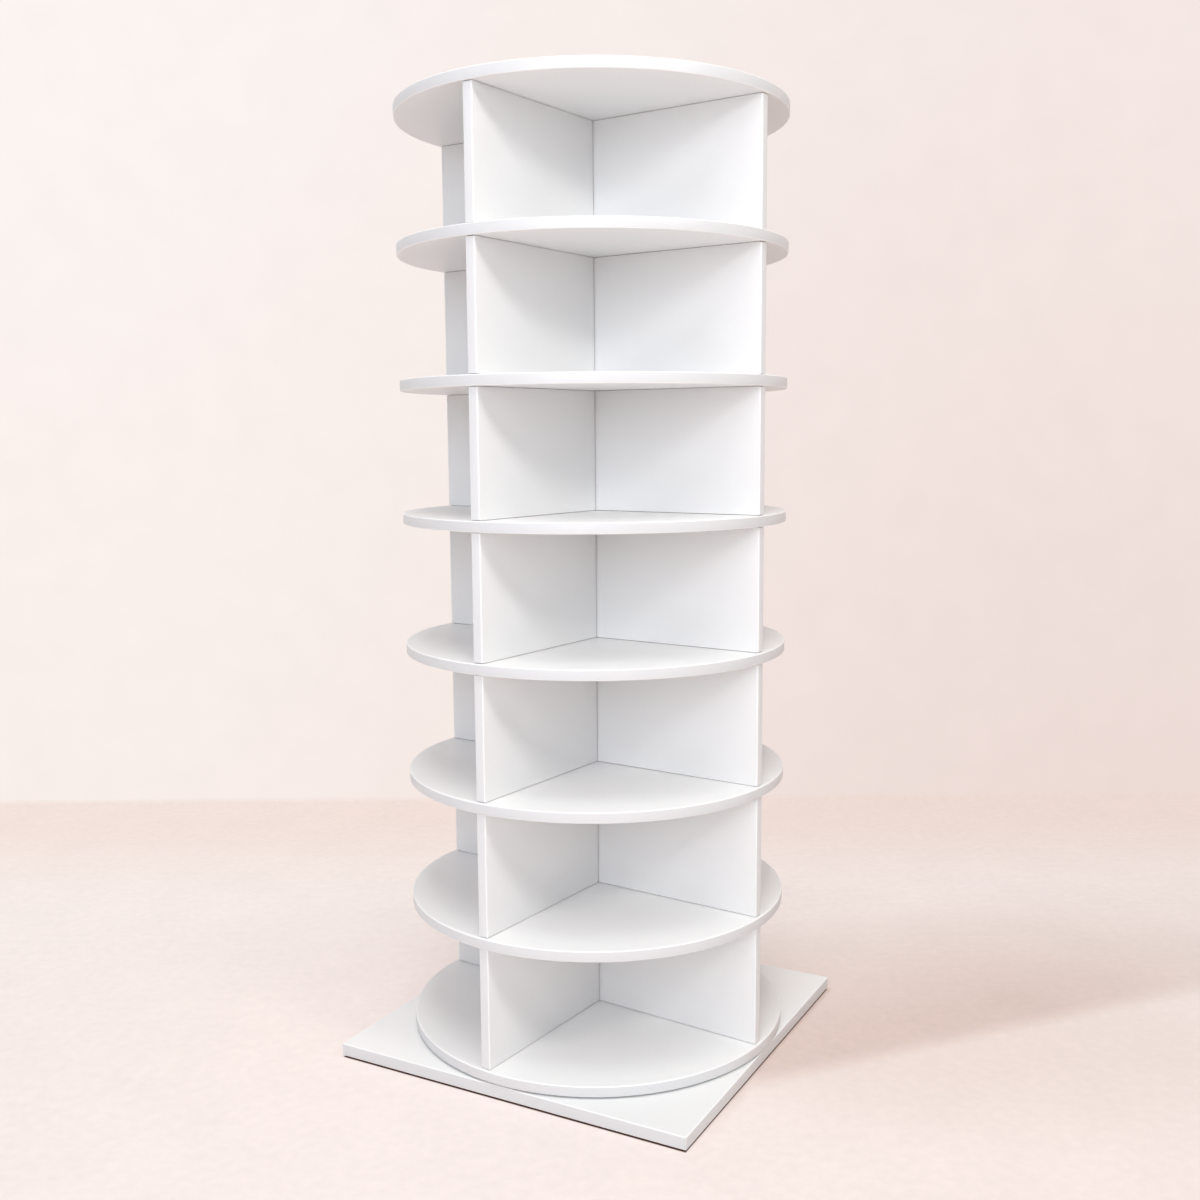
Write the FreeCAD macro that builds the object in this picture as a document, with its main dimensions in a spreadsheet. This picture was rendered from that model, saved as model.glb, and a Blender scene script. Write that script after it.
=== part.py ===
import FreeCAD, Part
import os

import Sketcher
from FreeCAD import Vector

# Rotating shoe tower: round shelves on crossed dividers, seven tiers high, carried by a ball
# turntable let into a square base board. Everything is white laminated board with edge bands.
# Millimetres, +Z up. The origin is on the spin axis, on the floor under the feet, and the
# dividers of every tier lie along X and Y. All geometry reads the sheet below.

DOC = FreeCAD.newDocument("shoe_tower")
SHEET = DOC.addObject("Spreadsheet::Sheet", "Sizes")

SIZES = [
    ("tier_count", 7, "tiers of compartments"),
    ("disc_radius", 280, "shelf disc, over its edge band"),
    ("disc_thickness", 15, "shelf board"),
    ("divider_height", 174, "clear height of a tier"),
    ("divider_thickness", 15, "divider board"),
    ("divider_setback", 4, "from the disc rim to a divider's banded end"),
    ("base_side", 555, "square base, over its edge bands"),
    ("base_thickness", 18, "base board"),
    ("base_turn", 5.7, "degrees from the dividers to the base's sides at rest"),
    ("base_gap", 3, "running gap between base and bottom disc"),
    ("band_thickness", 2, "edge band"),
    ("band_joint", 0.1, "hairline joint where two base bands meet"),
    ("arris_radius", 1.5, "rounding of a band's outer edges"),
    ("foot_radius", 15, "stick-on floor pad"),
    ("foot_height", 3, "stick-on floor pad"),
    ("foot_inset", 34, "from the base's sides to a pad's centre"),
    ("race_radius", 134, "circle of the ball centres"),
    ("race_gap", 1.4, "from the ball circle to each ring's face"),
    ("ball_radius", 2.5, "turntable ball"),
    ("ball_clearance", 0.1, "from a ball to its grooves and its pocket"),
    ("ball_count", 36, "balls in the cage"),
    ("cage_thickness", 1.2, "wall of the ball cage"),
    ("cage_height", 6, "ball cage"),
    ("ring_height", 7.5, "each turntable ring"),
    ("ring_relief", 1, "from each ring to the board it turns against"),
    ("lower_ring_width", 17, "radial width of the fixed ring"),
    ("upper_ring_width", 17, "radial width of the turning ring"),
    ("recess_clearance", 2.5, "from the turning ring to the wall of its recess"),
    ("ring_screw_count", 8, "screws in each turntable ring"),
    ("ring_screw_radius", 2, "shank"),
    ("ring_screw_head", 3.8, "head radius"),
    ("ring_screw_sink", 2.2, "head height"),
    ("base_screw_length", 17, "machine screw from below the base into the fixed ring"),
    ("disc_screw_length", 17, "wood screw from the turning ring into the bottom disc"),
    ("joint_screw_radius", 2.25, "shank of a shelf screw"),
    ("joint_screw_head", 4.5, "its head radius"),
    ("joint_screw_sink", 2.6, "its head height"),
    ("joint_screw_length", 50, "shelf screw, head to tip"),
    ("joint_screw_play", 0.2, "from a shelf screw's shank to its hole in a disc"),
    ("socket_radius", 1.4, "hexagon socket in every screw head"),
    ("socket_depth", 1.3, "depth of that socket"),
    ("inner_screw_place", 88, "from the axis to a divider's inner screw"),
    ("outer_screw_inset", 45, "from a divider's banded end to its outer screw"),
    ("dowel_radius", 4, "wooden dowel"),
    ("dowel_chamfer", 0.8, "bevel at a dowel's ends"),
    ("dowel_seat", 9, "depth of a shelf dowel in the disc"),
    ("dowel_rise", 20, "height of a shelf dowel in the divider"),
    ("inner_dowel_place", 48, "from the axis to a divider's inner dowel"),
    ("outer_dowel_inset", 85, "from a divider's banded end to its outer dowel"),
    ("cross_dowel_reach", 20, "depth of a cross dowel in each short divider"),
    ("cross_dowel_lift", 42, "from a divider's lower edge to the lower cross dowel"),
    ("cross_dowel_drop", 62, "from a divider's upper edge to the upper cross dowel"),
    ("cap_radius", 6.5, "cover cap over a screw in the top disc"),
    ("cap_height", 0.8, "cover cap"),
]
for row, (alias, number, meaning) in enumerate(SIZES, start=1):
    SHEET.set(f"A{row}", meaning)
    SHEET.set(f"B{row}", str(number))
    SHEET.setAlias(f"B{row}", alias)
DOC.recompute()

ARMS = 4                # arms of the cross, and sides of the square base
LEAST_CUT = 1e-6        # share of the volume that a cut takes away at least
UPRIGHT_RISE = 0.5      # least rise, per length, of an edge that counts as upright
SUB_PARTS = []


# ---- reading the sheet, and places that several pieces share ----

def amount(expression):
    """The number that an expression gives with the sheet as it is."""
    return float(SHEET.evalExpression(expression))


def count_of(alias):
    """A whole number from the sheet."""
    return int(round(amount(f"Sizes.{alias}")))


BASE_TOP = "(Sizes.foot_height + Sizes.base_thickness)"
BEARING_HEIGHT = "(Sizes.ring_height + Sizes.ring_relief)"
RECESS_DEPTH = f"({BEARING_HEIGHT} - Sizes.base_gap)"
RECESS_FLOOR = f"({BASE_TOP} - {RECESS_DEPTH})"
TIER_PITCH = "(Sizes.disc_thickness + Sizes.divider_height)"
DISC_BOARD = "(Sizes.disc_radius - Sizes.band_thickness)"
REACH = "(Sizes.disc_radius - Sizes.divider_setback)"
REACH_BOARD = f"({REACH} - Sizes.band_thickness)"
HALF_DIVIDER = "(Sizes.divider_thickness / 2)"
HALF_BASE = "(Sizes.base_side / 2)"

LOWER_RING_OUTSIDE = "(Sizes.race_radius - Sizes.race_gap)"
LOWER_RING_INSIDE = f"({LOWER_RING_OUTSIDE} - Sizes.lower_ring_width)"
UPPER_RING_INSIDE = "(Sizes.race_radius + Sizes.race_gap)"
UPPER_RING_OUTSIDE = f"({UPPER_RING_INSIDE} + Sizes.upper_ring_width)"
LOWER_SCREWS = f"(({LOWER_RING_INSIDE} + Sizes.race_radius - Sizes.ball_radius) / 2)"
UPPER_SCREWS = f"(({UPPER_RING_OUTSIDE} + Sizes.race_radius + Sizes.ball_radius) / 2)"
RING_HALF_STEP = "(180 / Sizes.ring_screw_count)"

SCREW_PLACES = ("Sizes.inner_screw_place", f"({REACH} - Sizes.outer_screw_inset)")
DOWEL_PLACES = ("Sizes.inner_dowel_place", f"({REACH} - Sizes.outer_dowel_inset)")
CROSS_DOWEL_PLACES = (
    "Sizes.cross_dowel_lift",
    "(Sizes.divider_height - Sizes.cross_dowel_drop)",
)


def disc_underside(level):
    """Height of a disc's underside; level 0 is the bottom disc."""
    return f"({BASE_TOP} + Sizes.base_gap + {level} * {TIER_PITCH})"


def disc_top(level):
    return f"({disc_underside(level)} + Sizes.disc_thickness)"


# ---- bodies, sketches and features ----

def datum(body, role):
    """One of a body's own origin planes or axes."""
    return next(f for f in body.Origin.OriginFeatures if f.Role == role)


def new_body(label, height="0", turn="0"):
    """An empty body, lifted by height and turned about the spin axis, that is a sub-part."""
    body = DOC.addObject("PartDesign::Body", label)
    body.Label = label
    body.AllowCompound = True
    body.setExpression("Placement.Base.z", height)
    body.setExpression("Placement.Rotation.Angle", turn)
    SUB_PARTS.append(body)
    return body


def sketch_on(body, role, across="0", along="0", lift="0"):
    """An empty sketch on an origin plane, its own origin moved by three expressions."""
    sketch = body.newObject("Sketcher::SketchObject", "Sketch")
    sketch.AttachmentSupport = (datum(body, role), [""])
    sketch.MapMode = "FlatFace"
    for axis, place in zip("xyz", (across, along, lift)):
        sketch.setExpression(f"AttachmentOffset.Base.{axis}", place)
    return sketch


def pin(sketch, geometry, vertex, x, y):
    """Ties one point of a sketch to the places x and y, both expressions."""
    for kind, axis, place in (("DistanceX", -2, x), ("DistanceY", -1, y)):
        size = amount(place)
        if size == 0:
            on_axis = Sketcher.Constraint("PointOnObject", geometry, vertex, axis)
            sketch.addConstraint(on_axis)
            continue
        ends = (-1, 1, geometry, vertex) if size > 0 else (geometry, vertex, -1, 1)
        index = sketch.addConstraint(Sketcher.Constraint(kind, *ends, abs(size)))
        sketch.setExpression(f"Constraints[{index}]", place if size > 0 else f"-({place})")


def outline(sketch, corners):
    """A closed straight-sided outline through corners, each a pair of expressions."""
    points = [Vector(amount(x), amount(y), 0) for x, y in corners]
    for start, end in zip(points, points[1:] + points[:1]):
        sketch.addGeometry(Part.LineSegment(start, end), False)
    last = len(corners) - 1
    for side, (x, y) in enumerate(corners):
        before = side - 1 if side else last
        sketch.addConstraint(Sketcher.Constraint("Coincident", before, 2, side, 1))
        pin(sketch, side, 1, x, y)
    return sketch


def rectangle(sketch, left, low, right, high):
    return outline(sketch, [(left, low), (right, low), (right, high), (left, high)])


def circle(sketch, x, y, radius):
    centre = Vector(amount(x), amount(y), 0)
    ring = sketch.addGeometry(Part.Circle(centre, Vector(0, 0, 1), amount(radius)), False)
    pin(sketch, ring, 3, x, y)
    size = sketch.addConstraint(Sketcher.Constraint("Radius", ring, amount(radius)))
    sketch.setExpression(f"Constraints[{size}]", radius)
    return sketch


def pad(body, sketch, length, backward=False):
    """Pads a sketch, towards its normal unless backward."""
    feature = body.newObject("PartDesign::Pad", "Pad")
    feature.Profile = sketch
    feature.Reversed = backward
    feature.setExpression("Length", length)
    return feature


def turned(body, sketch, axis="V_Axis"):
    """Turns a half section a full circle about an axis of its sketch."""
    feature = body.newObject("PartDesign::Revolution", "Turned")
    feature.Profile = sketch
    feature.ReferenceAxis = (sketch, [axis])
    feature.Angle = 360
    return feature


def cutting(body, make):
    """Runs make, which adds a cut or a pattern of one, and sees that it takes material away."""
    DOC.recompute()
    before = body.Shape.Volume
    feature = make()
    DOC.recompute()
    if body.Shape.Volume > before * (1 - LEAST_CUT):
        raise ValueError(f"{body.Label}: {feature.Name} cuts nothing")
    return feature


def pocket(body, sketch, depth, forward=False):
    """Cuts a sketch into the body against its normal, or along it where forward."""
    def make():
        feature = body.newObject("PartDesign::Pocket", "Pocket")
        feature.Profile = sketch
        feature.Reversed = forward
        feature.setExpression("Length", depth)
        return feature
    return cutting(body, make)


def groove(body, sketch):
    """Cuts a half section turned about its sketch's vertical axis."""
    def make():
        feature = body.newObject("PartDesign::Groove", "Groove")
        feature.Profile = sketch
        feature.ReferenceAxis = (sketch, ["V_Axis"])
        feature.Angle = 360
        return feature
    return cutting(body, make)


def hexagon_socket(body, across, height, upward):
    """Cuts the hexagon socket into a screw head whose face is at height; upward opens to +Z."""
    def make():
        feature = body.newObject("PartDesign::SubtractivePrism", "Socket")
        feature.Polygon = 6
        feature.AttachmentSupport = (datum(body, "XY_Plane"), [""])
        feature.MapMode = "FlatFace"
        feature.setExpression("Circumradius", "Sizes.socket_radius")
        feature.setExpression("Height", "Sizes.socket_depth")
        feature.setExpression("AttachmentOffset.Base.x", across)
        lowest = f"{height} - Sizes.socket_depth" if upward else height
        feature.setExpression("AttachmentOffset.Base.z", lowest)
        return feature
    return cutting(body, make)


def around(body, count, originals=()):
    """Repeats features, or the whole body where none is named, about the spin axis."""
    DOC.recompute()
    pattern = body.newObject("PartDesign::PolarPattern", "Around")
    pattern.Axis = (datum(body, "Z_Axis"), [""])
    pattern.Angle = 360
    pattern.setExpression("Occurrences", count)
    if originals:
        pattern.Originals = list(originals)
    else:
        pattern.TransformMode = "Whole shape"
    body.Tip = pattern
    return pattern


def upwards(body, count, pitch):
    """Repeats the whole body up the spin axis."""
    DOC.recompute()
    pattern = body.newObject("PartDesign::LinearPattern", "Upwards")
    pattern.Direction = (datum(body, "Z_Axis"), [""])
    pattern.TransformMode = "Whole shape"
    pattern.setExpression("Occurrences", count)
    pattern.setExpression("Length", f"({count} - 1) * {pitch}")
    body.Tip = pattern
    return pattern


def is_upright(edge):
    return abs(edge.tangentAt(edge.FirstParameter).z) > UPRIGHT_RISE


def round_edges(body, feature, chosen):
    """Rounds the edges of a feature for which chosen says yes."""
    DOC.recompute()
    names = [
        f"Edge{number}"
        for number, edge in enumerate(feature.Shape.Edges, start=1)
        if chosen(edge)
    ]
    fillet = body.newObject("PartDesign::Fillet", "Arris")
    fillet.Base = (feature, names)
    fillet.setExpression("Radius", "Sizes.arris_radius")
    return fillet


# ---- base: board, edge bands and floor pads ----

def base_board():
    """Square board with a round recess for the turntable and screw holes from below."""
    side = f"({HALF_BASE} - Sizes.band_thickness)"
    body = new_body("base_board", "Sizes.foot_height", "Sizes.base_turn")
    square = sketch_on(body, "XY_Plane")
    rectangle(square, f"-{side}", f"-{side}", side, side)
    pad(body, square, "Sizes.base_thickness")
    recess = sketch_on(body, "XY_Plane", lift="Sizes.base_thickness")
    circle(recess, "0", "0", f"{UPPER_RING_OUTSIDE} + Sizes.recess_clearance")
    pocket(body, recess, RECESS_DEPTH)
    hole = sketch_on(body, "XZ_Plane", across=LOWER_SCREWS)
    outline(hole, countersink(RING_SCREW, "Sizes.base_thickness", "0", upward=True))
    sunk = groove(body, hole)
    cutting(body, lambda: around(body, "Sizes.ring_screw_count", [sunk]))


def base_edge_bands():
    """Four equal strips in a pinwheel, each covering one side and the end of the next."""
    body = new_body("base_edge_bands", "Sizes.foot_height", "Sizes.base_turn")
    strip = sketch_on(body, "XY_Plane")
    rectangle(
        strip,
        f"-{HALF_BASE}",
        f"-{HALF_BASE}",
        f"({HALF_BASE} - Sizes.band_thickness - Sizes.band_joint)",
        f"(-{HALF_BASE} + Sizes.band_thickness)",
    )
    length = pad(body, strip, "Sizes.base_thickness")
    outside = -amount(HALF_BASE) + amount("Sizes.band_thickness") / 2

    def is_outer(edge):
        middle = edge.CenterOfMass
        if is_upright(edge):
            return middle.x < outside and middle.y < outside
        return middle.y < outside or middle.x < outside
    round_edges(body, length, is_outer)
    around(body, f"{ARMS}")


def base_feet():
    """A round floor pad under each corner of the base."""
    body = new_body("base_feet", "0", "Sizes.base_turn")
    place = f"({HALF_BASE} - Sizes.foot_inset)"
    pad(body, circle(sketch_on(body, "XY_Plane"), place, place, "Sizes.foot_radius"),
        "Sizes.foot_height")
    around(body, f"{ARMS}")


# ---- screws: half sections that the screws and their holes share ----

class ScrewKind:
    """Names of the sheet's values for one kind of countersunk screw."""

    def __init__(self, prefix, play="0"):
        self.shank = f"Sizes.{prefix}_radius"
        self.head = f"Sizes.{prefix}_head"
        self.sink = f"Sizes.{prefix}_sink"
        self.hole = f"({self.shank} + {play})"
        self.seat = (
            f"({self.sink} * ({self.head} - {self.hole}) / ({self.head} - {self.shank}))"
        )


RING_SCREW = ScrewKind("ring_screw")
JOINT_SCREW = ScrewKind("joint_screw", "Sizes.joint_screw_play")


def along(height, distance, upward):
    """A place at a distance from height, up or down."""
    return f"({height} + {distance})" if upward else f"({height} - {distance})"


def countersink(kind, length, height, upward):
    """Half section of a through hole whose countersunk mouth is at height."""
    return [
        ("0", height),
        (kind.head, height),
        (kind.hole, along(height, kind.seat, upward)),
        (kind.hole, along(height, length, upward)),
        ("0", along(height, length, upward)),
    ]


def screw_body(label, kind, length, place, height, upward, lift, turn="0"):
    """A body that holds the first screw of a ring of screws; its head face is at height."""
    body = new_body(label, lift, turn)
    add_screw(body, kind, length, place, height, upward)
    return body


def add_screw(body, kind, length, place, height, upward):
    """One turned screw at a place on the X axis, with its socket."""
    tip = f"({length} - {kind.shank})"
    profile = sketch_on(body, "XZ_Plane", across=place)
    outline(profile, [
        ("0", height),
        (kind.head, height),
        (kind.shank, along(height, kind.sink, upward)),
        (kind.shank, along(height, tip, upward)),
        ("0", along(height, length, upward)),
    ])
    turned(body, profile)
    hexagon_socket(body, place, height, upward=not upward)


# ---- turntable: two rings, the caged balls between them, and their screws ----

def ring(label, inside, outside, low, turn):
    """A turntable ring with its ball groove and no screw holes yet."""
    body = new_body(label, RECESS_FLOOR, turn)
    section = sketch_on(body, "XZ_Plane")
    rectangle(section, inside, low, outside, f"({low} + Sizes.ring_height)")
    turned(body, section)
    race = sketch_on(body, "XZ_Plane")
    circle(race, "Sizes.race_radius", f"{BEARING_HEIGHT} / 2",
           "Sizes.ball_radius + Sizes.ball_clearance")
    groove(body, race)
    return body


def lower_ring():
    """Fixed ring on the recess floor, tapped right through for the screws from below."""
    body = ring("turntable_lower_ring", LOWER_RING_INSIDE, LOWER_RING_OUTSIDE, "0",
                "Sizes.base_turn")
    tapped = sketch_on(body, "XY_Plane")
    circle(tapped, LOWER_SCREWS, "0", RING_SCREW.shank)
    first = pocket(body, tapped, "Sizes.ring_height", forward=True)
    cutting(body, lambda: around(body, "Sizes.ring_screw_count", [first]))


def upper_ring():
    """Turning ring against the bottom disc, countersunk from below."""
    body = ring("turntable_upper_ring", UPPER_RING_INSIDE, UPPER_RING_OUTSIDE,
                "Sizes.ring_relief", RING_HALF_STEP)
    hole = sketch_on(body, "XZ_Plane", across=UPPER_SCREWS)
    outline(hole, countersink(RING_SCREW, "Sizes.ring_height", "Sizes.ring_relief",
                              upward=True))
    sunk = groove(body, hole)
    cutting(body, lambda: around(body, "Sizes.ring_screw_count", [sunk]))


def ball_cage():
    """Plastic strip ring with one pocket for each ball."""
    half = "(Sizes.cage_thickness / 2)"
    body = new_body("ball_cage", RECESS_FLOOR)
    section = sketch_on(body, "XZ_Plane", across="Sizes.race_radius",
                        along=f"{BEARING_HEIGHT} / 2")
    rectangle(section, f"-{half}", "-Sizes.cage_height / 2", half, "Sizes.cage_height / 2")
    wall = body.newObject("PartDesign::Revolution", "Turned")
    wall.Profile = section
    wall.ReferenceAxis = (datum(body, "Z_Axis"), [""])
    wall.Angle = 360
    mouth = sketch_on(body, "YZ_Plane", lift="Sizes.race_radius - Sizes.cage_thickness")
    circle(mouth, "0", f"{BEARING_HEIGHT} / 2", "Sizes.ball_radius + Sizes.ball_clearance")
    first = pocket(body, mouth, "2 * Sizes.cage_thickness", forward=True)
    cutting(body, lambda: around(body, "Sizes.ball_count", [first]))


def bearing_balls():
    """Steel balls on the race circle, one in each pocket of the cage."""
    body = new_body("bearing_balls", f"{RECESS_FLOOR} + {BEARING_HEIGHT} / 2")
    ball = body.newObject("PartDesign::AdditiveSphere", "Ball")
    ball.AttachmentSupport = (datum(body, "XY_Plane"), [""])
    ball.MapMode = "FlatFace"
    ball.setExpression("Radius", "Sizes.ball_radius")
    ball.setExpression("AttachmentOffset.Base.x", "Sizes.race_radius")
    around(body, "Sizes.ball_count")


def turntable_screws():
    """Machine screws up through the base board, and wood screws up into the bottom disc."""
    below = screw_body("turntable_base_screws", RING_SCREW, "Sizes.base_screw_length",
                       LOWER_SCREWS, "0", True, "Sizes.foot_height", "Sizes.base_turn")
    above = screw_body("turntable_disc_screws", RING_SCREW, "Sizes.disc_screw_length",
                       UPPER_SCREWS, "Sizes.ring_relief", True, RECESS_FLOOR,
                       RING_HALF_STEP)
    for body in (below, above):
        around(body, "Sizes.ring_screw_count")


# ---- discs and their edge bands ----

def disc(label, level):
    """One round board with the holes that its level needs, four times around."""
    body = new_body(label, disc_underside(level))
    pad(body, circle(sketch_on(body, "XY_Plane"), "0", "0", DISC_BOARD),
        "Sizes.disc_thickness")
    is_bottom = level == 0
    face = "0" if is_bottom else "Sizes.disc_thickness"
    cuts = []
    for place in SCREW_PLACES:
        hole = sketch_on(body, "XZ_Plane", across=place)
        outline(hole, countersink(JOINT_SCREW, "Sizes.disc_thickness", face,
                                  upward=is_bottom))
        cuts.append(groove(body, hole))
    if level < count_of("tier_count"):
        seats = sketch_on(body, "XY_Plane", lift="Sizes.disc_thickness")
        for place in DOWEL_PLACES:
            circle(seats, place, "0", "Sizes.dowel_radius")
        cuts.append(pocket(body, seats, "Sizes.dowel_seat"))
    cutting(body, lambda: around(body, f"{ARMS}", cuts))
    if is_bottom:
        pilots = sketch_on(body, "XY_Plane")
        circle(pilots, f"{UPPER_SCREWS} * cos({RING_HALF_STEP} * 1 deg)",
               f"{UPPER_SCREWS} * sin({RING_HALF_STEP} * 1 deg)", RING_SCREW.shank)
        first = pocket(body, pilots, "Sizes.disc_screw_length - Sizes.ring_height",
                       forward=True)
        cutting(body, lambda: around(body, "Sizes.ring_screw_count", [first]))


def disc_edge_band(label, level):
    """A band round one disc, with its two outer edges rounded."""
    body = new_body(label, disc_underside(level))
    annulus = sketch_on(body, "XY_Plane")
    circle(annulus, "0", "0", "Sizes.disc_radius")
    circle(annulus, "0", "0", DISC_BOARD)
    strip = pad(body, annulus, "Sizes.disc_thickness")
    middle = (amount("Sizes.disc_radius") + amount(DISC_BOARD)) / 2

    def is_rim(edge):
        return hasattr(edge.Curve, "Radius") and edge.Curve.Radius > middle
    round_edges(body, strip, is_rim)


# ---- dividers of one tier, and their edge bands ----

def both_ways(places):
    """The same places on both halves of a board that crosses the axis."""
    return [f"{sign}{place}" for place in places for sign in ("", "-")]


def long_divider(tier):
    """Rim-to-rim board along X, drilled for dowels below, screws above and cross dowels."""
    body = new_body(f"long_divider_{tier}", disc_top(tier - 1))
    plan = sketch_on(body, "XY_Plane")
    rectangle(plan, f"-{REACH_BOARD}", f"-{HALF_DIVIDER}", REACH_BOARD, HALF_DIVIDER)
    pad(body, plan, "Sizes.divider_height")
    drill_edges(body, tier, "XY", both_ways(SCREW_PLACES), both_ways(DOWEL_PLACES))
    through = sketch_on(body, "XZ_Plane", lift=HALF_DIVIDER)
    for height in CROSS_DOWEL_PLACES:
        circle(through, "0", height, "Sizes.dowel_radius")
    pocket(body, through, "Sizes.divider_thickness")


def short_divider(label, tier, turn):
    """Board from the long divider to the rim, built along -Y and turned into place."""
    body = new_body(label, disc_top(tier - 1), turn)
    plan = sketch_on(body, "XY_Plane")
    rectangle(plan, f"-{HALF_DIVIDER}", f"-{REACH_BOARD}", HALF_DIVIDER, f"-{HALF_DIVIDER}")
    pad(body, plan, "Sizes.divider_height")
    drill_edges(body, tier, "YX", [f"-{place}" for place in SCREW_PLACES],
                [f"-{place}" for place in DOWEL_PLACES])
    butt = sketch_on(body, "XZ_Plane", lift=HALF_DIVIDER)
    for height in CROSS_DOWEL_PLACES:
        circle(butt, "0", height, "Sizes.dowel_radius")
    pocket(body, butt, "Sizes.cross_dowel_reach", forward=True)


def drill_edges(body, tier, order, screws, dowels):
    """Screw holes down a divider's upper edge and dowel holes up its lower edge; the lowest
    tier also takes the bottom disc's screws from below."""
    depth = "(Sizes.joint_screw_length - Sizes.disc_thickness)"

    def drill(places, radius, length, from_below):
        lift = "0" if from_below else "Sizes.divider_height"
        sketch = sketch_on(body, "XY_Plane", lift=lift)
        for place in places:
            x, y = (place, "0") if order == "XY" else ("0", place)
            circle(sketch, x, y, radius)
        pocket(body, sketch, length, forward=from_below)
    drill(screws, JOINT_SCREW.shank, depth, from_below=False)
    drill(dowels, "Sizes.dowel_radius", "Sizes.dowel_rise", from_below=True)
    if tier == 1:
        drill(screws, JOINT_SCREW.shank, depth, from_below=True)


def divider_edge_bands(tier):
    """Upright strips on the four outer ends of one tier's dividers."""
    body = new_body(f"divider_edge_bands_{tier}", disc_top(tier - 1))
    plan = sketch_on(body, "XY_Plane")
    rectangle(plan, REACH_BOARD, f"-{HALF_DIVIDER}", REACH, HALF_DIVIDER)
    strip = pad(body, plan, "Sizes.divider_height")
    middle = (amount(REACH) + amount(REACH_BOARD)) / 2

    def is_outer_upright(edge):
        return is_upright(edge) and edge.CenterOfMass.x > middle
    round_edges(body, strip, is_outer_upright)
    around(body, f"{ARMS}")


# ---- dowels, shelf screws and cover caps of the whole tower ----

def shelf_dowels():
    """Dowels that stand in each disc and hold the feet of the dividers above it."""
    body = new_body("shelf_dowels", disc_top(0))
    low = "-Sizes.dowel_seat"
    high = "Sizes.dowel_rise"
    slim = "(Sizes.dowel_radius - Sizes.dowel_chamfer)"
    for place in DOWEL_PLACES:
        profile = sketch_on(body, "XZ_Plane", across=place)
        outline(profile, [
            ("0", low),
            (slim, low),
            ("Sizes.dowel_radius", f"({low} + Sizes.dowel_chamfer)"),
            ("Sizes.dowel_radius", f"({high} - Sizes.dowel_chamfer)"),
            (slim, high),
            ("0", high),
        ])
        turned(body, profile)
    around(body, f"{ARMS}")
    upwards(body, "Sizes.tier_count", TIER_PITCH)


def cross_dowels():
    """Level dowels through each long divider into the short dividers on its two sides."""
    body = new_body("cross_dowels", disc_top(0))
    half = f"({HALF_DIVIDER} + Sizes.cross_dowel_reach)"
    straight = f"({half} - Sizes.dowel_chamfer)"
    slim = "(Sizes.dowel_radius - Sizes.dowel_chamfer)"
    for height in CROSS_DOWEL_PLACES:
        profile = sketch_on(body, "YZ_Plane", along=height)
        outline(profile, [
            (f"-{half}", "0"),
            (half, "0"),
            (half, slim),
            (straight, "Sizes.dowel_radius"),
            (f"-{straight}", "Sizes.dowel_radius"),
            (f"-{half}", slim),
        ])
        turned(body, profile, "H_Axis")
    upwards(body, "Sizes.tier_count", TIER_PITCH)


def joint_screws():
    """Screws up through the bottom disc, and down through every disc above it."""
    bottom = new_body("bottom_disc_screws", disc_underside(0))
    shelves = new_body("shelf_screws", disc_top(1))
    for body, upward in ((bottom, True), (shelves, False)):
        for place in SCREW_PLACES:
            add_screw(body, JOINT_SCREW, "Sizes.joint_screw_length", place, "0", upward)
        around(body, f"{ARMS}")
    upwards(shelves, "Sizes.tier_count", TIER_PITCH)


def top_screw_caps():
    """Thin bevelled caps over the screw heads in the top disc."""
    body = new_body("top_screw_caps", disc_top("Sizes.tier_count"))
    for place in SCREW_PLACES:
        profile = sketch_on(body, "XZ_Plane", across=place)
        outline(profile, [
            ("0", "0"),
            ("Sizes.cap_radius", "0"),
            ("(Sizes.cap_radius - Sizes.cap_height)", "Sizes.cap_height"),
            ("0", "Sizes.cap_height"),
        ])
        turned(body, profile)
    around(body, f"{ARMS}")


# ---- the whole tower, from the floor up ----

base_board()
base_edge_bands()
base_feet()
lower_ring()
upper_ring()
ball_cage()
bearing_balls()
turntable_screws()

tiers = count_of("tier_count")
disc_labels = ["bottom_disc"]
disc_labels += [f"shelf_disc_{number}" for number in range(1, tiers)]
disc_labels += ["top_disc"]
for level, label in enumerate(disc_labels):
    disc(label, level)
    disc_edge_band(f"{label}_edge_band", level)
for tier in range(1, tiers + 1):
    long_divider(tier)
    short_divider(f"front_divider_{tier}", tier, "0")
    short_divider(f"rear_divider_{tier}", tier, "180")
    divider_edge_bands(tier)
shelf_dowels()
cross_dowels()
joint_screws()
top_screw_caps()

DOC.recompute()
for thing in DOC.Objects:
    if {"Invalid", "Error"} & set(thing.State):
        raise RuntimeError(f"{thing.Label} failed: {thing.State}")
os.makedirs("parts", exist_ok=True)
for body in SUB_PARTS:
    if body.Shape.isNull() or not body.Shape.isValid():
        raise RuntimeError(f"{body.Label} has no sound shape")
for body in SUB_PARTS:
    body.Shape.exportStep(f"parts/{body.Label}.step")
print(f"{len(SUB_PARTS)} sub-parts, {sum(len(b.Shape.Solids) for b in SUB_PARTS)} solids")
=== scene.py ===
import math

import bmesh
import bpy
from mathutils import Matrix, Vector


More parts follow.
